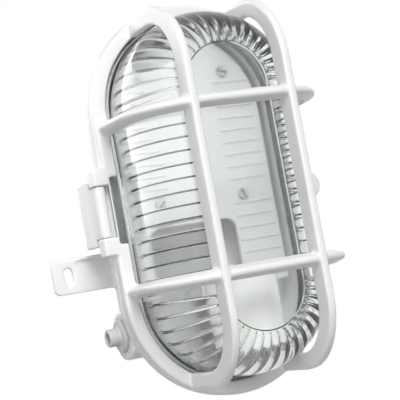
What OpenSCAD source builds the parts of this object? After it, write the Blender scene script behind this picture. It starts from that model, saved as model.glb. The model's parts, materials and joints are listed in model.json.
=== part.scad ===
/* [Housing] */
// Half length of the straight sides of the oval
spine_half = 49; // [40:0.5:60]
// Outer radius of the oval at the flange and the guard rim
rim_r = 59; // [53:0.5:66]
// Width of the flange round the tray
flange_w = 8; // [7.5:0.1:9]
// Thickness of the tray's side wall
tray_wall = 2.5; // [2:0.1:3]
// Thickness of the tray's back plate
back_t = 3; // [2.5:0.1:4]
// Depth from the wall to the back of the flange
flange_back = 22; // [21:0.5:26]
// Thickness of the flange
flange_t = 4.8; // [4:0.1:6]
// Radius of the flange's outer front edge
flange_edge_r = 0.8; // [0.4:0.1:1.2]

/* [Seal] */
// Width of the gasket groove
groove_w = 5.1; // [4:0.1:5.5]
// Distance of the gasket groove inside the edge of the glass's foot
groove_in = 0.7; // [0.4:0.1:1.2]
// Depth of the gasket groove
groove_depth = 2.5; // [1.5:0.1:3]
// Height of the gasket
gasket_h = 3.6; // [3.2:0.1:4.5]

/* [Glass] */
// Wall thickness of the glass
glass_t = 3.4; // [2.8:0.1:4]
// Width of the foot flange round the glass wall
foot_w = 6; // [5:0.1:7]
// Thickness of the foot flange
foot_t = 3; // [2.5:0.1:4]
// Depth from the wall to the front of the glass
glass_front = 80.5; // [76:0.5:82]
// Radius of the glass shoulder
shoulder_r = 24.4; // [18:0.2:24.6]
// Length of one step of the cross ribs
rib_pitch = 6.9; // [6:0.1:9]
// Width of a rib groove
rib_w = 2.6; // [1.5:0.1:3.2]
// Depth of a rib groove
rib_depth = 0.9; // [0.5:0.1:1.2]
// Depth from the wall at which the ribs start
rib_start = 43; // [40:0.5:50]
// Number of flutes round each end
flute_count = 20; // [12:1:24]
// Width of a flute
flute_w = 2.2; // [1.2:0.1:2.6]
// Width of the plain ring round the front window
ring_w = 1.2; // [0.6:0.1:2.5]

/* [Guard] */
// Thickness of the rim's front plate
rim_plate_t = 3; // [2.5:0.1:4]
// Thickness of the rim's skirt
skirt_t = 2.7; // [2:0.1:2.9]
// Radius of the rim's outer front edge
rim_edge_r = 1.6; // [0.8:0.1:2.2]
// Length of a catch that holds the glass
catch_len = 8; // [4:0.5:12]
// Distance of the glass catches from the ends of the straight sides
catch_in = 17; // [13:0.5:23]
// Reach of the glass catches under the foot of the glass
catch_bite = 0.5; // [0.3:0.05:0.6]
// Distance of the long bars from the middle
long_bar_x = 28; // [24:0.5:32]
// Thickness of a long bar
long_bar_t = 4.6; // [4:0.1:6]
// Depth of the long bars at the front
long_bar_depth = 12; // [9:0.5:12.5]
// Depth of a long bar's leg
long_leg_depth = 9.1; // [7:0.1:9.3]
// Corner radius of the long bars
long_bar_r = 38; // [30:1:40]
// Inner corner radius of the long bars
long_bar_in_r = 27; // [22:1:29]
// Radius of the long bars' front edges
long_edge_r = 1.3; // [0.8:0.1:2]
// Distance of the cross bars from the ends of the straight sides
cross_bar_in = 4.8; // [1:0.2:10]
// Width of a cross bar at its back
cross_bar_w = 8; // [6:0.2:9]
// Depth of a cross bar
cross_bar_depth = 7; // [5.5:0.1:7.2]
// Radius of a cross bar's ridge
cross_ridge_r = 2.3; // [1.6:0.1:2.8]
// Height of the cross bars over the long bars
cross_bar_rise = 0.5; // [0.2:0.1:2]
// Corner radius of the cross bars
cross_bar_r = 40; // [34:1:42]

/* [Latch] */
// Half width of the opening in the rim at the latch
latch_gap_half = 18; // [16:0.5:20]
// Half width of the lever between its lugs
lever_neck_half = 13.6; // [11:0.2:15]
// Half width of the lever's grip
lever_grip_half = 17.4; // [15.5:0.2:19]
// Width of a latch lug
lug_w = 9.5; // [7:0.5:12]
// Reach of the lugs past the rim
lug_reach = 6.4; // [5.5:0.1:7]
// Distance of the lever's pivot outside the rim
lever_pivot_out = 3; // [2.8:0.1:3.4]
// Distance of the lever's pivot behind the rim's face
lever_pivot_drop = 4; // [3.8:0.1:4.4]
// Radius of the lever's barrel
lever_barrel_r = 3.2; // [2.8:0.1:3.4]
// Radius of the lever's pin
latch_pin_r = 1.3; // [1:0.05:1.6]
// Outward reach of the lever's grip past the rim
grip_reach = 7.8; // [7:0.1:11]
// Length of the lever's grip
grip_len = 9.5; // [7:0.5:11]
// Thickness of the lever's plate
lever_t = 3; // [2.5:0.1:3.4]
// Gap between the hook's nose and the flange's edge
hook_edge_gap = 0.35; // [0.3:0.05:0.8]
// Thickness of the hook
hook_t = 3; // [2:0.1:4]
// Half width of the hook
hook_half = 11; // [6:0.5:12]
// Gap between the lever's inner face and the flange's edge
lever_flange_gap = 1.6; // [1:0.1:1.8]
// Distance of the grip's front behind the flange
grip_drop = 1.5; // [1:0.1:2.5]
// Distance that the lugs reach behind the guard's skirt
lug_drop = 1.5; // [0.5:0.1:2]

/* [Hinge] */
// Distance of the hinge axis outside the rim
hinge_out = 4.2; // [4:0.1:6]
// Distance of the hinge axis behind the flange's front
hinge_drop = 2.3; // [2:0.1:2.8]
// Radius of the hinge knuckles
knuckle_r = 3; // [2.6:0.1:3.4]
// Radius of the hinge pins
hinge_pin_r = 1.5; // [1.2:0.05:1.7]
// Distance of the hinges from the ends of the straight sides
hinge_in = 15; // [9:0.5:23]
// Width of the guard's knuckle
knuckle_w = 6; // [4:0.5:8]
// Thickness of a hinge ear on the tray
hinge_ear_t = 3.4; // [2.5:0.1:5]
// Radius of the hinge pins' heads
hinge_head_r = 2.4; // [2:0.1:2.8]
// Thickness of the hinge pins' heads
hinge_head_t = 1.2; // [0.8:0.1:2]

/* [Fixing ears] */
// Thickness of the ears
ear_t = 3; // [2.5:0.1:4]
// Reach of the left ear past the rim
left_ear_out = 27; // [25:0.5:33]
// Place of the left ear along the lamp
left_ear_y = -29.5; // [-36:0.5:-27]
// Width of the left ear
left_ear_w = 19; // [16:0.5:22]
// Corner radius of the left ear
left_ear_r = 3; // [1.5:0.5:5]
// Distance of the left slot from the ear's end
left_slot_in = 9; // [7:0.5:11]
// Height of the left ear's web
ear_web_h = 7.5; // [4:0.5:10]
// Thickness of the left ear's web
ear_web_t = 1.6; // [1.2:0.1:2.4]
// Length of the left ear's web
ear_web_len = 24; // [14:0.5:25]
// Reach of the right ear past the rim
right_ear_out = 29; // [25:0.5:33]
// Place of the right ear along the lamp
right_ear_y = 1.5; // [-4:0.5:6]
// Width of the right ear, with a half-round end
right_ear_w = 16; // [14:0.5:20]
// Width of the screw slots
slot_w = 5; // [4:0.1:6]
// Length of the screw slots
slot_len = 9.5; // [7:0.5:11]

/* [Cable entry] */
// Distance of the cable entry past the end of the straight side
entry_past = 17; // [11:0.5:21]
// Depth from the wall to the middle of the cable entry
entry_depth = 11.5; // [11:0.1:12]
// Radius of the entry boss
boss_r = 13.5; // [12:0.5:15]
// Distance of the entry boss's face inside the rim
boss_in = 3.5; // [2:0.5:5]
// Radius of the hole in the entry boss
entry_hole_r = 6; // [5:0.1:7]
// Thickness of the entry boss between the grommet's two lips
boss_wall = 7.5; // [5.5:0.1:7.9]
// Radius of the grommet's flange
grommet_flange_r = 9; // [8:0.1:10]
// Thickness of the grommet's flange
grommet_flange_t = 2.6; // [1.8:0.1:3.5]
// Radius of the grommet's inner lip
grommet_lip_r = 7.4; // [6.8:0.1:8]
// Thickness of the grommet's inner lip
grommet_lip_t = 2; // [1.2:0.1:3]
// Outer radius of the grommet's nipple
nipple_r = 4.9; // [4.4:0.1:5.6]
// Length of the grommet's nipple
nipple_len = 6.4; // [4:0.2:9]
// Radius of the cable's hole
cable_r = 2.9; // [2.4:0.1:3.4]

/* [Lampholder] */
// Distance of the lampholder's lower end from the tray's end wall
holder_end_gap = 13.5; // [13.5:0.5:17]
// Outer radius of the lampholder
holder_r = 19.5; // [18:0.5:21]
// Length of the lampholder
holder_len = 38; // [34:0.5:44]
// Thickness of the lampholder's floor
holder_floor = 10; // [8.5:0.5:14]
// Inner radius of the lampholder's threaded shell
shell_in_r = 13.35; // [12:0.05:14]
// Thickness of the threaded shell
shell_t = 0.7; // [0.4:0.1:1.2]
// Length of the threaded shell
shell_len = 22.4; // [18:0.2:24]
// Radius of the centre contact
contact_r = 4.5; // [3:0.1:6]
// Height of the centre contact
contact_h = 2.2; // [1:0.1:2.4]
// Depth of the well round the centre contact
contact_well = 2.6; // [2.4:0.1:4]
// Gap round the centre contact in its well
contact_gap = 2.5; // [1:0.1:4]
// Width of the lampholder's bracket
bracket_w = 24; // [20:0.5:30]
// Thickness of the bracket's sheet
bracket_t = 1.5; // [1:0.1:2.5]
// Length of the bracket's foot
bracket_foot = 25; // [22:0.5:26]
// Distance of the lampholder's screws from its axis
holder_screw_x = 8; // [6.5:0.5:8.5]
// Depth that the lampholder's screws go in
holder_screw_len = 7; // [4:0.5:7.5]
// Height of the pads under the bracket
pad_h = 4; // [3:0.5:5]
// Distance of the bracket's first screw head from its upright
bracket_screw_in = 3; // [2:0.5:3.5]
// Distance between the bracket's two screws
bracket_screw_gap = 12; // [10:0.5:13]

/* [Reflector] */
// Depth from the wall to the back of the reflector
reflector_depth = 20; // [18:0.5:22]
// Thickness of the reflector's sheet
reflector_t = 1; // [0.6:0.1:1.5]
// Gap between the reflector and the tray's wall
reflector_gap = 4; // [1:0.1:6]
// Distance of the reflector's lower edge from the terminal block's middle
reflector_past = 34; // [26:0.5:42]
// Reach of the reflector's arms past that edge, beside the lampholder
reflector_arm = 38; // [20:0.5:40]
// Distance from the middle to the right arm
right_arm_x = 18.5; // [16:0.5:24]
// Distance from the middle to the left arm, with room for the supply cable
left_arm_x = 33.5; // [24:0.5:36]
// Radius between the lower edge and the arms
arm_corner_r = 6; // [2:0.5:10]
// Radius of the reflector's pillars
pillar_r = 4; // [3.4:0.1:5]
// Distance of the pillars from the middle
pillar_x = 26; // [20:0.5:30]
// Distance of the lower pillars from the reflector's lower edge
pillar_low_in = 12; // [8:0.5:20]
// Distance of the upper pillars past the end of the straight side
pillar_high_past = 21; // [11:0.5:27]

/* [Terminals] */
// Width of the terminal block
block_w = 22; // [20:0.5:26]
// Length of the terminal block
block_len = 16; // [14:0.5:18]
// Height of the terminal block
block_h = 17; // [15:0.5:18]
// Distance of the terminal block's middle from the lampholder's lower end
block_past = 38; // [36:0.5:44]
// Distance of the sleeves from the middle
sleeve_x = 6; // [5.5:0.1:6.5]
// Height of the sleeves above the back plate
sleeve_h = 9; // [8:0.1:9.5]
// Outer radius of a brass sleeve
sleeve_r = 2.6; // [2.2:0.1:3]
// Length of a brass sleeve
sleeve_len = 14; // [11:0.5:15]
// Radius of a lead
lead_r = 1.2; // [0.9:0.05:1.4]
// Step between the terminal block's edge and its pad
block_pad_in = 1; // [0.5:0.5:3]
// Depth of the terminal block's fixing screw head under its top
block_screw_sink = 11; // [8:0.5:12]
// Depth of the terminal screws' seats under the block's top
terminal_head_sink = 3; // [2.5:0.1:3.5]
// Width of the terminal screws' head round the shank
terminal_head_lip = 0.7; // [0.4:0.1:0.9]
// Height of the terminal screws' heads
terminal_head_h = 1.6; // [1.2:0.1:2]
// Length of a lead inside its sleeve
lead_grip = 5; // [3:0.5:7]
// Bend radius of a lead
lead_bend = 5; // [4:0.5:7]
// Depth of a lead inside the lampholder
lead_in = 4; // [2:0.5:6]
// Distance of the leads' holes from the lampholder's lower end
lead_hole_y = 5; // [4:0.5:6.5]

/* [Screws] */
// Radius of the screws' shanks
screw_r = 1.5; // [1.2:0.05:1.7]
// Radius of the screws' heads
head_r = 2.9; // [2.4:0.1:3.4]
// Height of the screws' heads
head_h = 1.8; // [1.2:0.1:2.4]
// Length of the screws into their pillars and pads
screw_len = 6; // [5:0.5:6.5]
// Radius of the terminal screws
terminal_screw_r = 1.1; // [0.9:0.05:1.3]
// Width of the screws' slots
driver_slot_w = 0.8; // [0.5:0.1:1.2]
// Depth of the screws' slots
driver_slot_depth = 0.9; // [0.5:0.1:1]

/* [Clearances] */
// Gap between the guard's skirt and the foot of the glass
foot_side_gap = 0.9; // [0.5:0.1:1.4]
// Gap between the guard's rim and the glass wall
rim_glass_gap = 2.1; // [1.2:0.1:3]
// Gap between the long bars and the front of the glass
long_bar_gap = 3; // [2:0.1:6]
// Gap between the long bars and the ends of the glass
long_bar_end_gap = 0.7; // [0.5:0.1:2]
// Gap between the cross bars and the sides of the glass
cross_bar_gap = 1; // [0.6:0.1:2]
// Gap between the lampholder and the front of the glass
holder_room = 7.6; // [5.6:0.1:10]
// Gap between the gasket and the foot of the glass
seal_gap = 0.1; // [0.05:0.05:0.3]
// Gap between the flange and the guard's skirt
parting_gap = 0.25; // [0.15:0.05:0.5]
// Gap beside the gasket in its groove
gasket_side_gap = 0.2; // [0.1:0.05:0.4]
// Radial clearance round pins that turn
pin_clear = 0.06; // [0.03:0.01:0.1]
// Radial clearance round screws, leads and sleeves
fit_clear = 0.08; // [0.04:0.02:0.15]
// Side gap between parts that turn past each other
turn_gap = 0.4; // [0.3:0.05:0.6]
// Gap between the hook and the flange
hook_gap = 0.35; // [0.3:0.05:0.6]

/* [Hidden] */
$fn = 96;
cut = 1;
weld = 0.6;

// Radii of the oval, from the rim inwards
tray_r = rim_r - flange_w;
tray_in_r = tray_r - tray_wall;
skirt_in_r = rim_r - skirt_t;
foot_r = skirt_in_r - foot_side_gap;
groove_out_r = foot_r - groove_in;
groove_in_r = groove_out_r - groove_w;
glass_r = foot_r - foot_w;
rim_in_r = glass_r + rim_glass_gap;

// Depths of the sealing stack, all measured from the wall
flange_front = flange_back + flange_t;
groove_floor = flange_front - groove_depth;
gasket_top = groove_floor + gasket_h;
foot_back = gasket_top + seal_gap;
foot_front = foot_back + foot_t;
rim_face = foot_front + rim_plate_t;
skirt_back = flange_front + parting_gap;

// Glass
window_r = glass_r - shoulder_r;
cavity_r = glass_r - glass_t;
cavity_front = glass_front - glass_t;
cavity_shoulder_r = shoulder_r - glass_t;
catch_h = foot_back - skirt_back - seal_gap;
catch_in_r = foot_r - catch_bite;
catch_y = spine_half - catch_in;
rib_count = floor(2 * spine_half / rib_pitch);

// Bars, laid round the glass
long_bar_front = glass_front + long_bar_gap + long_bar_depth;
long_bar_inside = long_bar_x - long_bar_t / 2;
long_bar_in_half = spine_half + sqrt(pow(glass_r, 2) - pow(long_bar_inside, 2)) + long_bar_end_gap;
long_bar_half = long_bar_in_half + long_leg_depth;
cross_bar_y = spine_half - cross_bar_in;
cross_bar_half = glass_r + cross_bar_gap + cross_bar_depth;
cross_bar_front = long_bar_front + cross_bar_rise;

// Cross bar section, a flat back drawn up to a round ridge
ridge_drop = cross_bar_depth - cross_ridge_r;
ridge_reach = norm([cross_bar_w / 2, ridge_drop]);
ridge_angle = acos(cross_ridge_r / ridge_reach) - atan2(ridge_drop, cross_bar_w / 2);
long_cap = 2 * long_edge_r;

// Latch
lug_half_in = lever_neck_half + turn_gap;
lug_half_out = lug_half_in + lug_w;
lug_out = rim_r + lug_reach;
lug_back = skirt_back - lug_drop;
lever_x = -(rim_r + lever_pivot_out);
lever_d = rim_face - lever_pivot_drop;
grip_x = -(rim_r + grip_reach);
grip_front = flange_back - grip_drop;
grip_back = grip_front - grip_len;
hook_top = flange_back - hook_gap;
lever_in_x = -(rim_r + lever_flange_gap);

// Hinge
hinge_x = rim_r + hinge_out;
hinge_d = flange_front - hinge_drop;
hinge_y = spine_half - hinge_in;
hinge_span = knuckle_w / 2 + turn_gap + hinge_ear_t;

// Fixing ears and cable entry
left_ear_x = rim_r + left_ear_out;
right_ear_x = rim_r + right_ear_out;
entry_y = -(spine_half + entry_past);
boss_x = rim_r - boss_in;
grommet_seat_x = boss_x - boss_wall;

// Lampholder and its bracket
holder_depth = cavity_front - holder_room - holder_r;
holder_y = holder_end_gap - spine_half - tray_in_r;
bracket_back = back_t + pad_h;
holder_floor_y = holder_y + holder_floor;
shell_r = shell_in_r + shell_t;
shell_seat_y = holder_floor_y + contact_well;
bracket_y = holder_y - bracket_t;
bracket_screw_y = holder_y + head_r + bracket_screw_in;
holder_screw_d = holder_depth;

// Terminals and the reflector beyond them
block_y = holder_y + block_past;
reflector_y = block_y + reflector_past;
pillar_low_y = reflector_y + pillar_low_in;
pillar_high_y = spine_half + pillar_high_past;
block_back = bracket_back;
sleeve_d = block_back + sleeve_h;
terminal_screw_y = sleeve_len / 2 - lead_grip / 2;
lead_y = holder_y + lead_hole_y;
lead_start_y = block_y - sleeve_len / 2 + lead_grip;
holder_under_d = holder_depth - sqrt(pow(holder_r, 2) - pow(sleeve_x, 2));
lead_top_d = holder_under_d + lead_in;
block_top = block_back + block_h;
terminal_head_r = terminal_screw_r + terminal_head_lip;
terminal_well_r = terminal_head_r + fit_clear;
terminal_head_d = block_top - terminal_head_sink;
block_screw_d = block_top - block_screw_sink;
pilot_back = bracket_back - screw_len + bracket_t;

// Turns the lying model, drawn with depth as height, up against its wall
module on_wall() {
    rotate([90, 0, 0]) children();
}

// Sweeps a section, drawn as radius and depth, round the oval
module oval_sweep() {
    for (turn = [0, 180]) {
        rotate([0, 0, turn]) {
            translate([0, spine_half, 0]) rotate_extrude(angle = 180) children();
            rotate([90, 0, 0]) linear_extrude(2 * spine_half, center = true) children();
        }
    }
}

module oval(radius) {
    for (side = [-1, 1]) translate([0, side * spine_half]) circle(radius);
    square([2 * radius, 2 * spine_half], center = true);
}

// Rectangle in radius and depth
module band(inner, outer, back, front) {
    translate([inner, back]) square([outer - inner, front - back]);
}

// Rectangle in radius and depth with its outer front corner rounded
module soft_band(inner, outer, back, front, edge) {
    band(inner, outer, back, front - edge);
    band(inner, outer - edge, back, front);
    translate([outer - edge, front - edge]) circle(edge);
}

// Upright outline with two rounded top corners
module portal(half, foot, top, corner) {
    translate([-half, foot]) square([2 * half, top - corner - foot]);
    translate([corner - half, foot]) square([2 * (half - corner), top - foot]);
    for (side = [0, 1]) mirror([side, 0]) translate([half - corner, top - corner]) intersection() {
        circle(corner);
        square(corner);
    }
}

// Sweeps a section, drawn from the outline inwards along -x, round a portal
module portal_sweep(half, foot, top, corner) {
    for (side = [0, 1]) mirror([side, 0, 0]) {
        translate([half, 0, foot]) linear_extrude(top - corner - foot) children();
        translate([half - corner, 0, top - corner]) rotate([90, 0, 0])
            rotate_extrude(angle = 90) translate([corner, 0]) children();
    }
    translate([corner - half, 0, top]) rotate([0, 90, 0])
        linear_extrude(2 * (half - corner)) mirror([1, 0]) children();
}

module slot_cut(x, y) {
    translate([x, y, -cut]) linear_extrude(ear_t + 2 * cut) {
        for (side = [-1, 1]) translate([0, side * (slot_len - slot_w) / 2]) circle(d = slot_w);
        square([slot_w, slot_len - slot_w], center = true);
    }
}

// Slotted cheese-head screw, head up, with its seat at the origin
module slotted_screw(shank, length, head, height) {
    translate([0, 0, -length]) cylinder(r = shank, h = length);
    difference() {
        cylinder(r = head, h = height);
        translate([0, 0, height - driver_slot_depth / 2 + cut / 2])
            cube([2 * head + cut, driver_slot_w, driver_slot_depth + cut], center = true);
    }
}

module left_ear() {
    half = left_ear_w / 2;
    translate([0, left_ear_y, 0]) {
        linear_extrude(ear_t) {
            for (side = [-1, 1]) translate([left_ear_r - left_ear_x, side * (half - left_ear_r)])
                circle(left_ear_r);
            translate([-left_ear_x, left_ear_r - half])
                square([left_ear_x - tray_in_r, left_ear_w - 2 * left_ear_r]);
            translate([left_ear_r - left_ear_x, -half])
                square([left_ear_x - left_ear_r - tray_in_r, left_ear_w]);
        }
        translate([0, half, 0]) rotate([90, 0, 0]) linear_extrude(ear_web_t) polygon([
            [-tray_in_r, ear_t - weld], [-tray_r - ear_web_len, ear_t - weld],
            [-tray_r - ear_web_len, ear_t], [-tray_r, ear_t + ear_web_h],
            [-tray_in_r, ear_t + ear_web_h]
        ]);
    }
}

module right_ear() {
    end_x = right_ear_x - right_ear_w / 2;
    translate([0, right_ear_y, 0]) linear_extrude(ear_t) {
        translate([end_x, 0]) circle(d = right_ear_w);
        translate([tray_in_r, -right_ear_w / 2]) square([end_x - tray_in_r, right_ear_w]);
    }
}

// Round boss for the cable, cut level with the back plate and the flange
module entry_boss() {
    boss_in_x = sqrt(pow(tray_in_r, 2) - pow(entry_y + spine_half, 2)) - boss_r / 2;
    intersection() {
        translate([-boss_in_x, entry_y, entry_depth]) rotate([0, -90, 0])
            cylinder(r = boss_r, h = boss_x - boss_in_x);
        translate([-2 * rim_r, entry_y - 2 * boss_r, 0]) cube([2 * rim_r, 4 * boss_r, flange_back]);
    }
}

module hinge_ears() {
    for (place = [-hinge_y, hinge_y], side = [0, 1]) translate([0, place, 0]) mirror([0, side, 0])
        translate([0, hinge_span, 0]) rotate([90, 0, 0]) linear_extrude(hinge_ear_t) {
            translate([hinge_x, hinge_d]) circle(knuckle_r);
            translate([rim_r - weld, flange_back])
                square([hinge_x - rim_r + weld, hinge_d + knuckle_r / 2 - flange_back]);
        }
}

// Inside of the tray, with the walls left clear for the parts that stand in it
module tray_inside() {
    translate([0, 0, back_t]) linear_extrude(flange_front) oval(tray_in_r);
}

module tray_pillars() {
    intersection() {
        union() {
            for (x = [-pillar_x, pillar_x], y = [pillar_low_y, pillar_high_y])
                translate([x, y, 0]) cylinder(r = pillar_r, h = reflector_depth);
            for (step = [0, 1]) translate([0, bracket_screw_y + step * bracket_screw_gap, 0])
                cylinder(r = pillar_r, h = bracket_back);
            translate([block_pad_in - block_w / 2, block_y + block_pad_in - block_len / 2, 0])
                cube([block_w - 2 * block_pad_in, block_len - 2 * block_pad_in, block_back]);
        }
        linear_extrude(flange_front) oval(tray_in_r + weld);
    }
}

module base_tray() {
    color("whitesmoke") difference() {
        union() {
            difference() {
                union() {
                    linear_extrude(flange_front) oval(tray_r);
                    oval_sweep() soft_band(tray_in_r, rim_r, flange_back, flange_front, flange_edge_r);
                    left_ear();
                    right_ear();
                    entry_boss();
                    hinge_ears();
                }
                tray_inside();
            }
            tray_pillars();
        }
        oval_sweep() band(groove_in_r, groove_out_r, groove_floor, flange_front + cut);
        slot_cut(left_slot_in - left_ear_x, left_ear_y);
        slot_cut(right_ear_x - right_ear_w / 2, right_ear_y);
        translate([-boss_x - cut, entry_y, entry_depth]) rotate([0, 90, 0])
            cylinder(r = entry_hole_r, h = boss_x);
        translate([-grommet_seat_x, entry_y, entry_depth]) rotate([0, 90, 0])
            cylinder(r = grommet_lip_r + fit_clear, h = grommet_seat_x / 2);
        for (place = [-hinge_y, hinge_y]) translate([hinge_x, place, hinge_d]) rotate([90, 0, 0])
            cylinder(r = hinge_pin_r + pin_clear, h = 2 * hinge_span + cut, center = true);
        for (x = [-pillar_x, pillar_x], y = [pillar_low_y, pillar_high_y])
            translate([x, y, reflector_depth - screw_len - cut])
                cylinder(r = screw_r + fit_clear, h = screw_len + 2 * cut);
        for (y = [block_y, bracket_screw_y, bracket_screw_y + bracket_screw_gap])
            translate([0, y, pilot_back]) cylinder(r = screw_r + fit_clear, h = screw_len);
    }
}

module sealing_gasket() {
    color("dimgray") oval_sweep()
        soft_band(groove_in_r + gasket_side_gap, groove_out_r - gasket_side_gap,
            groove_floor, gasket_top, gasket_side_gap);
}

module cable_grommet() {
    color("lightgray") translate([-boss_x, entry_y, entry_depth]) rotate([0, -90, 0])
        rotate_extrude() difference() {
            union() {
                soft_band(0, grommet_flange_r, 0, grommet_flange_t, grommet_flange_t / 2);
                band(0, entry_hole_r - fit_clear, -boss_wall - grommet_lip_t, weld);
                band(0, grommet_lip_r, -boss_wall - grommet_lip_t, -boss_wall);
                soft_band(0, nipple_r, 0, grommet_flange_t + nipple_len, cable_r / 4);
            }
            band(0, cable_r, -boss_wall - grommet_lip_t - cut, grommet_flange_t + nipple_len + cut);
        }
}

module lampholder_bracket() {
    upright_top = holder_depth + holder_r / 2;
    color("gainsboro") difference() {
        union() {
            translate([-bracket_w / 2, bracket_y, bracket_back])
                cube([bracket_w, bracket_foot, bracket_t]);
            translate([-bracket_w / 2, bracket_y, bracket_back])
                cube([bracket_w, bracket_t, upright_top - bracket_back]);
        }
        for (step = [0, 1])
            translate([0, bracket_screw_y + step * bracket_screw_gap, bracket_back - cut])
                cylinder(r = screw_r + fit_clear, h = bracket_t + 2 * cut);
        for (side = [-1, 1])
            translate([side * holder_screw_x, bracket_y - cut, holder_screw_d]) rotate([-90, 0, 0])
                cylinder(r = screw_r + fit_clear, h = bracket_t + 2 * cut);
    }
}

module bracket_screws() {
    color("silver") for (step = [0, 1])
        translate([0, bracket_screw_y + step * bracket_screw_gap, bracket_back + bracket_t])
            slotted_screw(screw_r, screw_len - fit_clear, head_r, head_h);
}

module lampholder_body() {
    color("white") difference() {
        translate([0, holder_y, holder_depth]) rotate([-90, 0, 0])
            rotate_extrude() soft_band(0, holder_r, 0, holder_len, holder_floor / 5);
        translate([0, holder_floor_y, holder_depth]) rotate([-90, 0, 0])
            cylinder(r = contact_r + contact_gap, h = holder_len);
        translate([0, shell_seat_y, holder_depth]) rotate([-90, 0, 0])
            cylinder(r = shell_r + fit_clear, h = holder_len);
        for (side = [-1, 1])
            translate([side * holder_screw_x, holder_y - cut, holder_screw_d]) rotate([-90, 0, 0])
                cylinder(r = screw_r + fit_clear, h = holder_screw_len + cut);
        for (side = [-1, 1]) translate([side * sleeve_x, lead_y, holder_depth - holder_r - cut])
            cylinder(r = lead_r + fit_clear, h = lead_top_d - holder_depth + holder_r + cut);
    }
}

module lampholder_shell() {
    color("goldenrod") translate([0, shell_seat_y, holder_depth]) rotate([-90, 0, 0]) difference() {
        cylinder(r = shell_r, h = shell_len);
        translate([0, 0, -cut]) cylinder(r = shell_in_r, h = shell_len + 2 * cut);
    }
}

module centre_contact() {
    color("goldenrod") translate([0, holder_floor_y, holder_depth]) rotate([-90, 0, 0])
        rotate_extrude() soft_band(0, contact_r, 0, contact_h, contact_h / 2);
}

module lampholder_screws() {
    color("silver") for (side = [-1, 1])
        translate([side * holder_screw_x, bracket_y, holder_screw_d]) rotate([90, 0, 0])
            slotted_screw(screw_r, bracket_t + holder_screw_len - fit_clear, head_r, head_h);
}

module reflector_plate() {
    low_y = -(spine_half + rim_r);
    color("white") difference() {
        translate([0, 0, reflector_depth]) linear_extrude(reflector_t) difference() {
            oval(tray_in_r - reflector_gap);
            translate([(right_arm_x - left_arm_x) / 2, 0])
                portal((right_arm_x + left_arm_x) / 2, low_y, reflector_y, arm_corner_r);
            translate([-rim_r, low_y]) square([2 * rim_r, reflector_y - reflector_arm - low_y]);
        }
        for (x = [-pillar_x, pillar_x], y = [pillar_low_y, pillar_high_y])
            translate([x, y, reflector_depth - cut])
                cylinder(r = screw_r + fit_clear, h = reflector_t + 2 * cut);
    }
}

module reflector_screws() {
    color("silver") for (x = [-pillar_x, pillar_x], y = [pillar_low_y, pillar_high_y])
        translate([x, y, reflector_depth + reflector_t])
            slotted_screw(screw_r, screw_len + reflector_t - fit_clear, head_r, head_h);
}

module terminal_block() {
    color("ghostwhite") translate([0, block_y, 0]) difference() {
        translate([-block_w / 2, -block_len / 2, block_back]) cube([block_w, block_len, block_h]);
        for (side = [-1, 1]) {
            translate([side * sleeve_x, 0, sleeve_d]) rotate([90, 0, 0])
                cylinder(r = sleeve_r + fit_clear, h = block_len + 2 * cut, center = true);
            for (end = [-1, 1]) translate([side * sleeve_x, end * terminal_screw_y, sleeve_d])
                cylinder(r = terminal_well_r, h = block_h);
        }
        translate([0, 0, block_back - cut]) cylinder(r = screw_r + fit_clear, h = block_h + 2 * cut);
        translate([0, 0, block_screw_d]) cylinder(r = head_r + fit_clear, h = block_h);
    }
}

module terminal_sleeves() {
    color("gold") for (side = [-1, 1]) translate([side * sleeve_x, block_y, sleeve_d]) difference() {
        rotate([90, 0, 0]) cylinder(r = sleeve_r, h = sleeve_len, center = true);
        rotate([90, 0, 0]) cylinder(r = lead_r + fit_clear, h = sleeve_len + 2 * cut, center = true);
        for (end = [-1, 1]) translate([0, end * terminal_screw_y, 0])
            cylinder(r = terminal_screw_r + fit_clear, h = 2 * sleeve_r);
    }
}

module terminal_screws() {
    tip_d = sleeve_d + lead_r + fit_clear;
    color("silver") for (side = [-1, 1], end = [-1, 1])
        translate([side * sleeve_x, block_y + end * terminal_screw_y, terminal_head_d])
            slotted_screw(terminal_screw_r, terminal_head_d - tip_d, terminal_head_r, terminal_head_h);
}

module terminal_fixing_screw() {
    color("silver") translate([0, block_y, block_screw_d])
        slotted_screw(screw_r, block_screw_d - pilot_back - fit_clear, head_r, head_h);
}

// Insulated lead from its sleeve along the tray and up into the lampholder
module lead(side) {
    run = lead_start_y - lead_y - lead_bend;
    translate([side * sleeve_x, lead_y, sleeve_d]) {
        translate([0, lead_bend, 0]) rotate([-90, 0, 0]) cylinder(r = lead_r, h = run);
        translate([0, lead_bend, lead_bend]) rotate([0, -90, 0]) rotate([0, 0, 180])
            rotate_extrude(angle = 90) translate([lead_bend, 0]) circle(lead_r);
        translate([0, 0, lead_bend])
            cylinder(r = lead_r, h = lead_top_d - sleeve_d - lead_bend - fit_clear);
    }
}

module live_lead() {
    color("saddlebrown") lead(-1);
}

module neutral_lead() {
    color("steelblue") lead(1);
}

module hinge_pins() {
    color("silver") for (place = [-1, 1]) translate([hinge_x, place * hinge_y, hinge_d])
        rotate([-90 * place, 0, 0]) {
            translate([0, 0, -hinge_span]) cylinder(r = hinge_pin_r, h = 2 * hinge_span);
            translate([0, 0, hinge_span]) cylinder(r = hinge_head_r, h = hinge_head_t);
        }
}

module rim_section() {
    difference() {
        soft_band(rim_in_r, rim_r, skirt_back, rim_face, rim_edge_r);
        band(rim_in_r - cut, skirt_in_r, skirt_back - cut, foot_front);
    }
}

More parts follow.
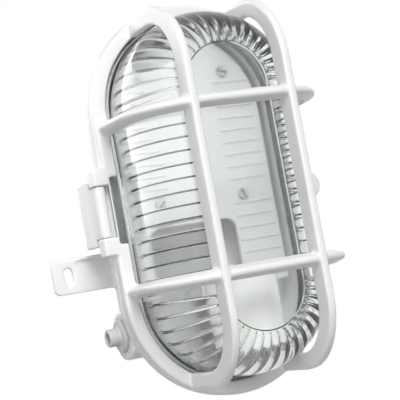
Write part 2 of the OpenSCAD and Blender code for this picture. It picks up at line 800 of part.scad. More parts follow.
module long_bar() {
    in_front = long_bar_front - long_bar_depth;
    foot = rim_face - rim_plate_t / 2;
    rotate([90, 0, 90]) linear_extrude(long_bar_t, center = true) difference() {
        portal(long_bar_half - long_edge_r, foot, long_bar_front - long_edge_r, long_bar_r - long_edge_r);
        portal(long_bar_in_half, foot - cut, in_front, long_bar_in_r);
    }
    rotate([0, 0, 90]) portal_sweep(long_bar_half, foot, long_bar_front, long_bar_r)
        translate([-long_cap, -long_bar_t / 2]) {
            translate([0, long_edge_r]) square([long_cap, long_bar_t - long_cap]);
            square([long_edge_r, long_bar_t]);
            for (side = [-1, 1])
                translate([long_edge_r, long_bar_t / 2 + side * (long_bar_t / 2 - long_edge_r)])
                    circle(long_edge_r);
        }
}

module cross_bar_section() {
    ridge_x = cross_ridge_r * cos(ridge_angle);
    ridge_y = cross_ridge_r * sin(ridge_angle);
    translate([-cross_ridge_r, 0]) {
        circle(cross_ridge_r);
        polygon([
            [-ridge_drop, -cross_bar_w / 2], [ridge_y, -ridge_x],
            [ridge_y, ridge_x], [-ridge_drop, cross_bar_w / 2]
        ]);
    }
}

// Lugs beside the lever, level with the rim's face
module latch_lugs() {
    for (side = [0, 1]) mirror([0, side, 0]) {
        translate([-lug_out, lug_half_in, lug_back])
            cube([lug_out - rim_r - turn_gap, lug_w, rim_face - lug_back]);
        translate([-lug_out, lug_half_in, skirt_back])
            cube([lug_out - skirt_in_r, lug_w, rim_face - skirt_back]);
    }
}

module guard_knuckles() {
    for (place = [-hinge_y, hinge_y]) translate([0, place, 0]) rotate([90, 0, 0])
        linear_extrude(knuckle_w, center = true) {
            translate([hinge_x, hinge_d]) circle(knuckle_r);
            translate([skirt_in_r, skirt_back])
                square([hinge_x - skirt_in_r + knuckle_r / 2, foot_front - skirt_back]);
        }
}

// Small catches inside the skirt that hold the foot of the glass
module glass_catches() {
    for (x = [0, 1], y = [-1, 1]) mirror([x, 0, 0])
        translate([catch_in_r, y * catch_y - catch_len / 2, skirt_back])
            cube([skirt_in_r - catch_in_r + weld, catch_len, catch_h]);
}

module guard_cage() {
    color("white") difference() {
        union() {
            difference() {
                union() {
                    oval_sweep() rim_section();
                    glass_catches();
                }
                translate([-rim_r - cut, -latch_gap_half, skirt_back - cut])
                    cube([rim_r + cut - rim_in_r + cut, 2 * latch_gap_half, rim_face]);
            }
            intersection() {
                for (side = [-1, 1]) translate([side * long_bar_x, 0, 0]) long_bar();
                linear_extrude(2 * cross_bar_front) oval(rim_r);
            }
            for (side = [-1, 1]) translate([0, side * cross_bar_y, 0])
                portal_sweep(cross_bar_half, rim_face - rim_plate_t / 2, cross_bar_front, cross_bar_r)
                    cross_bar_section();
            latch_lugs();
            guard_knuckles();
        }
        for (place = [-hinge_y, hinge_y]) translate([hinge_x, place, hinge_d]) rotate([90, 0, 0])
            cylinder(r = hinge_pin_r + pin_clear, h = knuckle_w + cut, center = true);
        translate([lever_x, 0, lever_d]) rotate([90, 0, 0])
            cylinder(r = latch_pin_r + pin_clear, h = 2 * (lug_half_out + cut), center = true);
    }
}

// Upright outline of the glass at a wall line that is grown by some amount
module glass_outline(radius, foot, front, shoulder) {
    band(0, radius, foot, front - shoulder);
    band(0, radius - shoulder, foot, front);
    translate([radius - shoulder, front - shoulder]) intersection() {
        circle(shoulder);
        square(shoulder);
    }
}

module rib_outline() {
    difference() {
        glass_outline(cavity_r + rib_depth, rib_start, cavity_front + rib_depth,
            cavity_shoulder_r + rib_depth);
        band(0, window_r + ring_w, 0, 2 * glass_front);
    }
}

module glass_diffuser() {
    color("lightcyan") difference() {
        oval_sweep() {
            glass_outline(glass_r, foot_back, glass_front, shoulder_r);
            band(0, foot_r, foot_back, foot_front);
        }
        oval_sweep() glass_outline(cavity_r, foot_back - cut, cavity_front, cavity_shoulder_r);
        for (rib = [0:rib_count - 1], side = [0, 1])
            mirror([side, 0, 0]) translate([0, (rib - (rib_count - 1) / 2) * rib_pitch, 0])
                rotate([90, 0, 0]) linear_extrude(rib_w, center = true) rib_outline();
        for (end = [0, 1], flute = [0:flute_count - 1])
            mirror([0, end, 0]) translate([0, spine_half, 0])
                rotate([0, 0, (flute + 0.5) * 180 / flute_count])
                    rotate([90, 0, 0]) linear_extrude(flute_w, center = true) rib_outline();
    }
}

// Side view of the lever's plate, barrel and grip
module lever_outline() {
    translate([lever_x, lever_d]) circle(lever_barrel_r);
    polygon([
        [lever_x + lever_barrel_r * 0.7, lever_d + lever_barrel_r * 0.7],
        [lever_x, lever_d + lever_barrel_r],
        [grip_x + lever_t / 2, grip_front + lever_t / 2],
        [grip_x, grip_front - lever_t / 2],
        [grip_x, grip_back],
        [grip_x + lever_t, grip_back],
        [grip_x + lever_t, hook_top - hook_t],
        [lever_in_x, hook_top - hook_t],
        [lever_in_x, lever_d - lever_barrel_r]
    ]);
}

module lever_hook() {
    nose_x = -(rim_r + hook_edge_gap);
    polygon([
        [lever_in_x - weld, hook_top], [nose_x, hook_top], [nose_x, hook_top - hook_t / 3],
        [nose_x - hook_t / 2, hook_top - hook_t], [lever_in_x - weld, hook_top - hook_t]
    ]);
}

module latch_lever() {
    grip_limit = lug_back - turn_gap - lever_t;
    color("white") difference() {
        union() {
            rotate([90, 0, 0]) linear_extrude(2 * lever_neck_half, center = true) lever_outline();
            rotate([90, 0, 0]) linear_extrude(2 * lever_grip_half, center = true) intersection() {
                lever_outline();
                band(-2 * rim_r, 0, 0, grip_limit);
            }
            rotate([90, 0, 0]) linear_extrude(2 * hook_half, center = true) lever_hook();
        }
        translate([lever_x, 0, lever_d]) rotate([90, 0, 0])
            cylinder(r = latch_pin_r + pin_clear, h = 2 * lever_grip_half + cut, center = true);
    }
}

module latch_pin() {
    color("silver") translate([lever_x, 0, lever_d]) rotate([90, 0, 0])
        cylinder(r = latch_pin_r, h = 2 * lug_half_out, center = true);
}

on_wall() base_tray();
on_wall() sealing_gasket();
on_wall() cable_grommet();
on_wall() lampholder_bracket();
on_wall() bracket_screws();
on_wall() lampholder_body();
on_wall() lampholder_shell();
on_wall() centre_contact();
on_wall() lampholder_screws();
on_wall() reflector_plate();
on_wall() reflector_screws();
on_wall() terminal_block();
on_wall() terminal_sleeves();
on_wall() terminal_screws();
on_wall() terminal_fixing_screw();
on_wall() live_lead();
on_wall() neutral_lead();
on_wall() hinge_pins();
on_wall() guard_cage();
on_wall() glass_diffuser();
on_wall() latch_lever();
on_wall() latch_pin();
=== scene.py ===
import json
import math

import bmesh
import bpy
import numpy as np
from mathutils import Matrix, Vector


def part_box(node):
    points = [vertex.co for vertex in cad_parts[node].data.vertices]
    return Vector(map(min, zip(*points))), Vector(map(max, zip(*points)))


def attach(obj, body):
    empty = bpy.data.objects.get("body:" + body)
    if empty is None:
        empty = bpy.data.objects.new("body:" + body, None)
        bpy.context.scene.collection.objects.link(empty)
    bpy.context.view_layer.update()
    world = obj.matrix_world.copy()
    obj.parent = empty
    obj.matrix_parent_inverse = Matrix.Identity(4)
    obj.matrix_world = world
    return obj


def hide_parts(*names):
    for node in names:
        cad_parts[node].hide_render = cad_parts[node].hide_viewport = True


bl_info = {
    "name": "Oval bulkhead light",
    "version": (1, 0, 0),
    "blender": (4, 5, 0),
    "location": "View3D > Sidebar > Bulkhead",
    "description": "Dresses the oval bulkhead light: guard, tray, ribbed glass, lampholder and stage",
    "category": "Object",
}

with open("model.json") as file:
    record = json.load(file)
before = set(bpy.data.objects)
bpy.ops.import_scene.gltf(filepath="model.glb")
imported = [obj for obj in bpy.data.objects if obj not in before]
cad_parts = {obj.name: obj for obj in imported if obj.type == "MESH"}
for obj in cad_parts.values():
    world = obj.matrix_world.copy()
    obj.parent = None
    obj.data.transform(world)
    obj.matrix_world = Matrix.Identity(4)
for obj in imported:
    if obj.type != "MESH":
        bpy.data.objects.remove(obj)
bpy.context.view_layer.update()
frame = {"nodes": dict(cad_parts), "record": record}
NODES = frame["nodes"]
BODY_OF = {name: body for body, names in frame["record"]["behaviour"]["bodies"].items() for name in names}

MM = 0.001
SEAM_GAP = 1e-7  # points of a new shell this close are one
CAD_GAP = 2e-6  # corners of the CAD's loose triangles this close are one
GLASS_LOW, GLASS_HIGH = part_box("glass_diffuser")
SHELL_LOW, SHELL_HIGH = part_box("lampholder_shell")
LAMP_AIM = Vector((0.0, -0.05, 0.0))


# Settings that a user would change

class GlassSettings(bpy.types.PropertyGroup):
    wall_radius: bpy.props.FloatProperty(
        name="Wall radius", description="Outer radius of the glass wall round the oval",
        default=0.0494, unit="LENGTH")
    wall_thickness: bpy.props.FloatProperty(
        name="Wall thickness", description="Thickness of the glass between its ribs",
        default=0.0034, unit="LENGTH")
    straight_half: bpy.props.FloatProperty(
        name="Straight half", description="Half length of the oval's straight sides",
        default=0.049, unit="LENGTH")
    window_half: bpy.props.FloatProperty(
        name="Window half width", description="Half width of the flat front window",
        default=0.0236, unit="LENGTH")
    window_straight_half: bpy.props.FloatProperty(
        name="Window straight half", description="Half length of the window's straight sides",
        default=0.0525, unit="LENGTH")
    foot_radius: bpy.props.FloatProperty(
        name="Foot radius", description="Outer radius of the foot flange",
        default=0.0554, unit="LENGTH")
    foot_thickness: bpy.props.FloatProperty(
        name="Foot thickness", description="Thickness of the foot flange",
        default=0.003, unit="LENGTH")
    shoulder_height: bpy.props.FloatProperty(
        name="Shoulder height", description="Height of the rounded shoulder",
        default=0.0300, unit="LENGTH")
    rib_start: bpy.props.FloatProperty(
        name="Rib start", description="Depth from the wall at which the ribs begin",
        default=0.043, unit="LENGTH")
    rib_pitch: bpy.props.FloatProperty(
        name="Rib pitch", description="Step of the cross ribs along the sides",
        default=0.0069, unit="LENGTH")
    rib_shift: bpy.props.IntProperty(
        name="Rib shift", description="Columns by which the cross ribs sit lower", default=5)
    rib_depth: bpy.props.FloatProperty(
        name="Rib depth", description="Depth of the valleys between the cross ribs",
        default=0.0009, unit="LENGTH")
    flute_depth: bpy.props.FloatProperty(
        name="Flute depth", description="Depth of the valleys between the flutes",
        default=0.0011, unit="LENGTH")
    rib_sharpness: bpy.props.FloatProperty(
        name="Rib sharpness", description="Higher values narrow the lines between the cross ribs",
        default=13.0)
    flutes: bpy.props.IntProperty(
        name="Flutes", description="Number of flutes round each end", default=20)
    flute_sharpness: bpy.props.FloatProperty(
        name="Flute sharpness", description="Higher values narrow the valleys of the flutes near the window",
        default=2.4)
    ring_step: bpy.props.FloatProperty(
        name="Ring step", description="Height of the step round the front window",
        default=0.0007, unit="LENGTH")
    tint: bpy.props.FloatVectorProperty(
        name="Tint", description="Colour of the glass", subtype="COLOR",
        default=(0.965, 0.985, 0.98))


class MouldingSettings(bpy.types.PropertyGroup):
    plastic: bpy.props.FloatVectorProperty(
        name="Plastic", description="Colour of the white mouldings", subtype="COLOR",
        default=(0.86, 0.86, 0.85))
    guard_grid: bpy.props.FloatProperty(
        name="Guard grid", description="Mesh step of the guard", default=0.00071, unit="LENGTH")
    tray_grid: bpy.props.FloatProperty(
        name="Tray grid", description="Mesh step of the tray", default=0.00095, unit="LENGTH")
    lever_grid: bpy.props.FloatProperty(
        name="Lever grid", description="Mesh step of the latch lever", default=0.0004, unit="LENGTH")
    soften: bpy.props.IntProperty(
        name="Soften", description="Passes that round the moulded edges", default=4)


class FittingSettings(bpy.types.PropertyGroup):
    thread_pitch: bpy.props.FloatProperty(
        name="Thread pitch", description="Pitch of the lamp thread", default=0.0036, unit="LENGTH")
    thread_depth: bpy.props.FloatProperty(
        name="Thread depth", description="Height of the rolled thread", default=0.0007, unit="LENGTH")
    shell_gauge: bpy.props.FloatProperty(
        name="Shell gauge", description="Thickness of the brass sheet", default=0.0003, unit="LENGTH")
    slot_width: bpy.props.FloatProperty(
        name="Slot width", description="Width of the screws' slots", default=0.0008, unit="LENGTH")
    slot_depth: bpy.props.FloatProperty(
        name="Slot depth", description="Depth of the screws' slots", default=0.0009, unit="LENGTH")
    small_grid: bpy.props.FloatProperty(
        name="Small grid", description="Mesh step of the small fittings", default=0.00042, unit="LENGTH")
    # Pad gauge: thickness of the grey sheet that paints shade on the tray's floor
    pad_gauge: bpy.props.FloatProperty(
        name="Pad gauge", description="Thickness of the grey sheet that paints shade on the tray's floor",
        default=0.0006, unit="LENGTH")


class StageSettings(bpy.types.PropertyGroup):
    floor_drop: bpy.props.FloatProperty(
        name="Floor drop", description="Height of the floor", default=-0.26, unit="LENGTH")
    ambient: bpy.props.FloatProperty(
        name="Ambient", description="Light of the white room", default=0.10)
    key_power: bpy.props.FloatProperty(
        name="Key power", description="Power of the lamp above the front", default=50.0, unit="POWER")
    fill_power: bpy.props.FloatProperty(
        name="Fill power", description="Power of the lamp at the left", default=8.0, unit="POWER")
    back_power: bpy.props.FloatProperty(
        name="Back power", description="Power of the lamp at the back on the right",
        default=13.0, unit="POWER")


# Mesh helpers

def link(name, mesh):
    """New object at the origin with this mesh."""
    piece = bpy.data.objects.new(name, mesh)
    bpy.context.scene.collection.objects.link(piece)
    return piece


def mesh_from(name, points, faces):
    """New mesh from points and faces."""
    mesh = bpy.data.meshes.new(name)
    mesh.from_pydata([tuple(p) for p in points], [], [tuple(f) for f in faces])
    mesh.validate()
    return mesh


def ring_faces(rings, around, closed=True, gap=None):
    """Quads that join each ring of points to the next, but for the gap after one ring."""
    faces = []
    for i in range(rings if closed else rings - 1):
        below = (i + 1) % rings * around
        for j in range(around if i != gap else 0):
            after = (j + 1) % around
            faces.append((i * around + j, i * around + after, below + after, below + j))
    return faces


def close_shell(mesh):
    """Merges seams and poles and points the faces outwards."""
    work = bmesh.new()
    work.from_mesh(mesh)
    bmesh.ops.remove_doubles(work, verts=work.verts, dist=SEAM_GAP)
    bmesh.ops.dissolve_degenerate(work, edges=work.edges, dist=SEAM_GAP)
    bmesh.ops.recalc_face_normals(work, faces=work.faces)
    work.to_mesh(mesh)
    work.free()


def shade(mesh, angle=None):
    """Smooth shading, with sharp edges past an angle in degrees."""
    mesh.shade_smooth()
    if angle is not None:
        mesh.set_sharp_from_angle(angle=math.radians(angle))


def apply_live(piece):
    """Turns a piece's modifiers into its plain mesh."""
    graph = bpy.context.evaluated_depsgraph_get()
    mesh = bpy.data.meshes.new_from_object(piece.evaluated_get(graph), depsgraph=graph)
    piece.modifiers.clear()
    piece.data = mesh
    mesh.name = piece.name


def settle(piece, *nodes):
    """Puts a finished piece on the body of the CAD nodes that it stands for."""
    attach(piece, BODY_OF[nodes[0]])
    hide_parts(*nodes)


def softened(node, name, grid, passes):
    """Copy of a CAD node with the small rounded edges and fillets of a moulding."""
    mesh = NODES[node].data.copy()
    mesh.materials.clear()
    work = bmesh.new()
    work.from_mesh(mesh)
    bmesh.ops.remove_doubles(work, verts=work.verts, dist=CAD_GAP)
    work.to_mesh(mesh)
    work.free()
    if "custom_normal" in mesh.attributes:
        mesh.attributes.remove(mesh.attributes["custom_normal"])
    piece = link(name, mesh)
    remesh = piece.modifiers.new("Grid", "REMESH")
    remesh.mode = "VOXEL"
    remesh.voxel_size = grid
    remesh.use_smooth_shade = True
    smooth = piece.modifiers.new("Soften", "SMOOTH")
    smooth.factor = 0.5
    smooth.iterations = passes
    apply_live(piece)
    return piece


# Node helpers

def put(tree, kind, place=(0, 0), **settings):
    """New node in a tree, with its settings."""
    node = tree.nodes.new(kind)
    node.location = place
    for key, value in settings.items():
        setattr(node, key, value)
    return node


def wire(tree, source, target):
    tree.links.new(source, target)


def fill(node, **values):
    """Plain values for a node's inputs, with _ for each space in a name."""
    for name, value in values.items():
        node.inputs[name.replace("_", " ")].default_value = value


def maths(tree, operation, first, second=None, place=(0, 0)):
    """Output of a Math node on two sockets or plain numbers."""
    node = put(tree, "ShaderNodeMath", place, operation=operation)
    for socket, value in zip(node.inputs, (first, second)):
        if isinstance(value, float):
            socket.default_value = value
        elif value is not None:
            wire(tree, value, socket)
    return node.outputs[0]


def new_group(name, kind, inputs, outputs):
    """Node group whose sockets are given by name, kind and default, with its two end nodes."""
    tree = bpy.data.node_groups.new(name, kind)
    for side, entries in (("INPUT", inputs), ("OUTPUT", outputs)):
        for title, socket, *default in entries:
            item = tree.interface.new_socket(title, in_out=side, socket_type="NodeSocket" + socket)
            if default:
                item.default_value = default[0]
    return tree, put(tree, "NodeGroupInput", (-1300, 0)), put(tree, "NodeGroupOutput", (1300, 0))


# Finishes

def mottle_group():
    """Slow change of tone and shine over a moulded or glazed surface."""
    name = "Surface mottle"
    if name in bpy.data.node_groups:
        return bpy.data.node_groups[name]
    tree, into, out = new_group(name, "ShaderNodeTree", (
        ("Vector", "Vector"), ("Scale", "Float", 60.0), ("Dark", "Float", 0.95), ("Low Shine", "Float", 0.4),
        ("High Shine", "Float", 0.5), ("Color", "Color"),
    ), (("Color", "Color"), ("Roughness", "Float")))
    noise = put(tree, "ShaderNodeTexNoise", (-450, 100))
    fill(noise, Detail=3.0)
    tone = put(tree, "ShaderNodeMapRange", (-200, 150))
    shine = put(tree, "ShaderNodeMapRange", (-200, -150))
    for ramp in (tone, shine):
        wire(tree, noise.outputs["Fac"], ramp.inputs["Value"])
        fill(ramp, From_Min=0.3, From_Max=0.7)
    mix = put(tree, "ShaderNodeMix", (100, 150), data_type="RGBA", blend_type="MULTIPLY")
    fill(mix, Factor=1.0)
    for source, node, target in (
        ("Vector", noise, "Vector"), ("Scale", noise, "Scale"), ("Dark", tone, "To Min"),
        ("Low Shine", shine, "To Min"), ("High Shine", shine, "To Max"), ("Color", mix, "A"),
    ):
        wire(tree, into.outputs[source], node.inputs[target])
    wire(tree, tone.outputs["Result"], mix.inputs["B"])
    wire(tree, mix.outputs["Result"], out.inputs["Color"])
    wire(tree, shine.outputs["Result"], out.inputs["Roughness"])
    return tree


def grain_group():
    """Height of a fine grain over slow waves, as a mould leaves them."""
    name = "Mould grain"
    if name in bpy.data.node_groups:
        return bpy.data.node_groups[name]
    tree, into, out = new_group(name, "ShaderNodeTree", (
        ("Vector", "Vector"), ("Grain Scale", "Float", 2500.0), ("Wave Scale", "Float", 90.0),
        ("Wave Share", "Float", 0.3),
    ), (("Height", "Float"),))
    grain = put(tree, "ShaderNodeTexNoise", (-400, 150))
    wave = put(tree, "ShaderNodeTexNoise", (-400, -150))
    fill(wave, Detail=1.0)
    mix = put(tree, "ShaderNodeMix", (0, 0), data_type="FLOAT")
    for texture, scale, target in ((grain, "Grain Scale", "A"), (wave, "Wave Scale", "B")):
        wire(tree, into.outputs["Vector"], texture.inputs["Vector"])
        wire(tree, into.outputs[scale], texture.inputs["Scale"])
        wire(tree, texture.outputs["Fac"], mix.inputs[target])
    wire(tree, into.outputs["Wave Share"], mix.inputs["Factor"])
    wire(tree, mix.outputs["Result"], out.inputs["Height"])
    return tree


def surface(name, shine, mottle, grain, wave, share, bump):
    """New material on Object coordinates with the two shared groups, its shader and its group of tones."""
    material = bpy.data.materials.new(name)
    material.use_nodes = True
    tree = material.node_tree
    shader = tree.nodes["Principled BSDF"]
    where = put(tree, "ShaderNodeTexCoord", (-1100, 0)).outputs["Object"]
    tone = put(tree, "ShaderNodeGroup", (-550, 200), node_tree=mottle_group())
    fill(tone, Scale=mottle, Low_Shine=shine[0], High_Shine=shine[1])
    skin = put(tree, "ShaderNodeGroup", (-550, -200), node_tree=grain_group())
    fill(skin, Grain_Scale=grain, Wave_Scale=wave, Wave_Share=share)
    for group in (tone, skin):
        wire(tree, where, group.inputs["Vector"])
    relief = put(tree, "ShaderNodeBump", (-250, -200))
    fill(relief, Distance=bump)
    wire(tree, skin.outputs["Height"], relief.inputs["Height"])
    wire(tree, relief.outputs["Normal"], shader.inputs["Normal"])
    wire(tree, tone.outputs["Roughness"], shader.inputs["Roughness"])
    return material, shader, tone


def finish_named(name, color, shine, dark, mottle, grain=2500.0, wave=90.0, share=0.3, bump=0.00003,
                 metallic=0.0, coat=0.0):
    """Procedural finish, made once under its name."""
    if name in bpy.data.materials:
        return bpy.data.materials[name]
    material, shader, tone = surface(name, shine, mottle, grain, wave, share, bump)
    fill(tone, Dark=dark, Color=(*color, 1.0))
    wire(material.node_tree, tone.outputs["Color"], shader.inputs["Base Color"])
    fill(shader, Metallic=metallic, Coat_Weight=coat)
    return material


def plastic_finish():
    return finish_named("White plastic", bpy.context.scene.bulkhead_mouldings.plastic, shine=(0.36, 0.44),
                        dark=0.985, mottle=35.0, grain=1800.0, wave=70.0, share=0.35, bump=0.00004)


def zinc_finish():
    return finish_named("Zinc plate", (0.68, 0.69, 0.70), shine=(0.26, 0.42), dark=0.86, mottle=260.0,
                        grain=3200.0, wave=400.0, share=0.4, bump=0.00002, metallic=1.0)


def brass_finish():
    return finish_named("Plain brass", (0.78, 0.60, 0.28), shine=(0.2, 0.36), dark=0.84, mottle=180.0,
                        grain=3000.0, wave=260.0, share=0.5, bump=0.00002, metallic=1.0)


def porcelain_finish():
    return finish_named("Glazed porcelain", (0.88, 0.87, 0.84), shine=(0.1, 0.18), dark=0.96, mottle=90.0,
                        grain=900.0, wave=120.0, share=0.7, bump=0.00006, coat=0.4)


def glass_finish():
    """Clear pressed glass, which is a plain pale filter for the light that falls through it."""
    name = "Pressed glass"
    if name in bpy.data.materials:
        return bpy.data.materials[name]
    material, shader, _ = surface(name, shine=(0.05, 0.10), mottle=45.0, grain=320.0, wave=60.0, share=0.6,
                                  bump=0.00004)
    tint = (*bpy.context.scene.bulkhead_glass.tint, 1.0)
    fill(shader, Base_Color=tint, Transmission_Weight=1.0, IOR=1.52)
    tree = material.node_tree
    clear = put(tree, "ShaderNodeBsdfTransparent", (0, -250))
    fill(clear, Color=(0.87, 0.88, 0.885, 1.0))
    path = put(tree, "ShaderNodeLightPath", (0, 400))
    mix = put(tree, "ShaderNodeMixShader", (350, 100))
    wire(tree, path.outputs["Is Shadow Ray"], mix.inputs[0])
    wire(tree, shader.outputs["BSDF"], mix.inputs[1])
    wire(tree, clear.outputs["BSDF"], mix.inputs[2])
    wire(tree, mix.outputs["Shader"], tree.nodes["Material Output"].inputs["Surface"])
    return material


# Geometry Nodes trees

def end_tree(tree, geometry, into, out):
    """Ends a tree with real geometry in the finish that its input names."""
    real = put(tree, "GeometryNodeRealizeInstances", (900, 0))
    wire(tree, geometry, real.inputs["Geometry"])
    coat = put(tree, "GeometryNodeSetMaterial", (1100, 0))
    wire(tree, real.outputs["Geometry"], coat.inputs["Geometry"])
    wire(tree, into.outputs["Finish"], coat.inputs["Material"])
    wire(tree, coat.outputs["Geometry"], out.inputs["Geometry"])


def rib_tree():
    """Presses valleys into a shell that carries rib_phase, rib_sharp, rib_mask and rib_out."""
    name = "Pressed ribs"
    if name in bpy.data.node_groups:
        return bpy.data.node_groups[name]
    tree, into, out = new_group(name, "GeometryNodeTree", (
        ("Geometry", "Geometry"), ("Depth", "Float"), ("Finish", "Material"),
    ), (("Geometry", "Geometry"),))

    def stored(name, kind, place):
        node = put(tree, "GeometryNodeInputNamedAttribute", place, data_type=kind)
        fill(node, Name=name)
        return node.outputs["Attribute"]

    step = maths(tree, "FRACT", stored("rib_phase", "FLOAT", (-700, -200)), place=(-500, -200))
    twice = maths(tree, "MULTIPLY", step, 2.0, (-350, -200))
    across = maths(tree, "SUBTRACT", twice, 1.0, (-200, -200))
    off = maths(tree, "ABSOLUTE", across, place=(-50, -200))
    valley = maths(tree, "POWER", off, stored("rib_sharp", "FLOAT", (-250, -350)), (100, -200))
    masked = maths(tree, "MULTIPLY", valley, stored("rib_mask", "FLOAT", (-50, -400)), (250, -200))
    depth = maths(tree, "MULTIPLY", masked, into.outputs["Depth"], (400, -200))
    move = put(tree, "ShaderNodeVectorMath", (400, -400), operation="SCALE")
    wire(tree, stored("rib_out", "FLOAT_VECTOR", (200, -500)), move.inputs[0])
    wire(tree, depth, move.inputs["Scale"])
    place = put(tree, "GeometryNodeSetPosition", (650, 0))
    wire(tree, into.outputs["Geometry"], place.inputs["Geometry"])
    wire(tree, move.outputs["Vector"], place.inputs["Offset"])
    end_tree(tree, place.outputs["Geometry"], into, out)
    return tree


def screw_tree():
    """Slotted cheese-head screws on the points of a mesh, each turned at random."""
    name = "Slotted screws"
    if name in bpy.data.node_groups:
        return bpy.data.node_groups[name]
    sizes = ("Head Radius", "Head Height", "Shank Radius", "Shank Length", "Slot Width", "Slot Depth")
    tree, into, out = new_group(name, "GeometryNodeTree", (
        ("Geometry", "Geometry"), *((size, "Float") for size in sizes), ("Turn", "Rotation"),
        ("Finish", "Material"),
    ), (("Geometry", "Geometry"),))

    def scaled(socket, factor):
        return maths(tree, "MULTIPLY", socket, factor, (-1000, 0))

    def lifted(mesh, height):
        move = put(tree, "GeometryNodeTransform", (-400, 0))
        vector = put(tree, "ShaderNodeCombineXYZ", (-600, 0))
        wire(tree, height, vector.inputs["Z"])
        wire(tree, mesh, move.inputs["Geometry"])
        wire(tree, vector.outputs["Vector"], move.inputs["Translation"])
        return move.outputs["Geometry"]

    radius, height = into.outputs["Head Radius"], into.outputs["Head Height"]
    head_sides, shank_sides = 40, 24
    wall_share, top_share = 0.78, 0.88  # of the head's height and of its radius
    wall = put(tree, "GeometryNodeMeshCylinder", (-700, 300))
    fill(wall, Vertices=head_sides)
    wall_height = scaled(height, wall_share)
    wire(tree, radius, wall.inputs["Radius"])
    wire(tree, wall_height, wall.inputs["Depth"])
    dome = put(tree, "GeometryNodeMeshCone", (-700, 100))
    fill(dome, Vertices=head_sides)
    wire(tree, scaled(radius, top_share), dome.inputs["Radius Top"])
    wire(tree, radius, dome.inputs["Radius Bottom"])
    wire(tree, scaled(height, 1 - wall_share), dome.inputs["Depth"])
    head = put(tree, "GeometryNodeMeshBoolean", (-200, 250), operation="UNION")
    wire(tree, lifted(wall.outputs["Mesh"], scaled(wall_height, 0.5)), head.inputs["Mesh 2"])
    wire(tree, lifted(dome.outputs["Mesh"], wall_height), head.inputs["Mesh 2"])
    saw = put(tree, "GeometryNodeMeshCube", (-700, -150))
    size = put(tree, "ShaderNodeCombineXYZ", (-900, -150))
    wire(tree, scaled(radius, 3.0), size.inputs["X"])
    wire(tree, into.outputs["Slot Width"], size.inputs["Y"])
    wire(tree, scaled(into.outputs["Slot Depth"], 2.0), size.inputs["Z"])
    wire(tree, size.outputs["Vector"], saw.inputs["Size"])
    slotted = put(tree, "GeometryNodeMeshBoolean", (0, 200), operation="DIFFERENCE")
    wire(tree, head.outputs["Mesh"], slotted.inputs["Mesh 1"])
    wire(tree, lifted(saw.outputs["Mesh"], height), slotted.inputs["Mesh 2"])
    shank = put(tree, "GeometryNodeMeshCylinder", (-700, -400))
    fill(shank, Vertices=shank_sides)
    wire(tree, into.outputs["Shank Radius"], shank.inputs["Radius"])
    wire(tree, into.outputs["Shank Length"], shank.inputs["Depth"])
    half_down = scaled(into.outputs["Shank Length"], -0.5)
    screw = put(tree, "GeometryNodeJoinGeometry", (200, 0))
    wire(tree, slotted.outputs["Mesh"], screw.inputs["Geometry"])
    wire(tree, lifted(shank.outputs["Mesh"], half_down), screw.inputs["Geometry"])
    spread = put(tree, "GeometryNodeInstanceOnPoints", (450, 0))
    wire(tree, into.outputs["Geometry"], spread.inputs["Points"])
    wire(tree, screw.outputs["Geometry"], spread.inputs["Instance"])
    wire(tree, into.outputs["Turn"], spread.inputs["Rotation"])
    chance = put(tree, "FunctionNodeRandomValue", (450, -300), data_type="FLOAT")
    fill(chance, Max=math.tau, Seed=11)
    angle = put(tree, "ShaderNodeCombineXYZ", (620, -300))
    wire(tree, chance.outputs["Value"], angle.inputs["Z"])
    spun = put(tree, "GeometryNodeRotateInstances", (700, 0))
    wire(tree, spread.outputs["Instances"], spun.inputs["Instances"])
    wire(tree, angle.outputs["Vector"], spun.inputs["Rotation"])
    end_tree(tree, spun.outputs["Instances"], into, out)
    return tree


def rib_row_tree():
    """Row of like pressed ribs, a step apart along Z, from one rib's mesh."""
    name = "Rib row"
    if name in bpy.data.node_groups:
        return bpy.data.node_groups[name]
    tree, into, out = new_group(name, "GeometryNodeTree", (
        ("Geometry", "Geometry"), ("Count", "Int"), ("Step", "Float"), ("Finish", "Material"),
    ), (("Geometry", "Geometry"),))
    row = put(tree, "GeometryNodeMeshLine", (-300, 100), mode="OFFSET")
    rise = put(tree, "ShaderNodeCombineXYZ", (-500, -100))
    wire(tree, into.outputs["Step"], rise.inputs["Z"])
    wire(tree, into.outputs["Count"], row.inputs["Count"])
    wire(tree, rise.outputs["Vector"], row.inputs["Offset"])
    spread = put(tree, "GeometryNodeInstanceOnPoints", (-50, 0))
    wire(tree, row.outputs["Mesh"], spread.inputs["Points"])
    wire(tree, into.outputs["Geometry"], spread.inputs["Instance"])
    end_tree(tree, spread.outputs["Instances"], into, out)
    return tree


def run_tree(piece, tree, values):
    """Runs a tree on a piece with its named inputs set, and keeps the plain mesh."""
    live = piece.modifiers.new(tree.name, "NODES")
    live.node_group = tree
    for item in tree.interface.items_tree:
        if item.item_type == "SOCKET" and item.in_out == "INPUT" and item.name in values:
            live[item.identifier] = values[item.name]
    apply_live(piece)


# Pieces

class BULKHEAD_OT_mouldings(bpy.types.Operator):
    """Makes the guard, the tray and the latch lever with softly rounded moulded edges"""
    bl_idname = "bulkhead.mouldings"
    bl_label = "White mouldings"

    def execute(self, context):
        settings = context.scene.bulkhead_mouldings
        for node, name, grid, passes in (
            ("guard_cage", "Guard", settings.guard_grid, settings.soften),
            ("base_tray", "Tray", settings.tray_grid, settings.soften // 2),
            ("latch_lever", "Latch_lever", settings.lever_grid, settings.soften),
        ):
            piece = softened(node, name, grid, passes)
            piece.data.materials.append(plastic_finish())
            settle(piece, node)
        return {"FINISHED"}


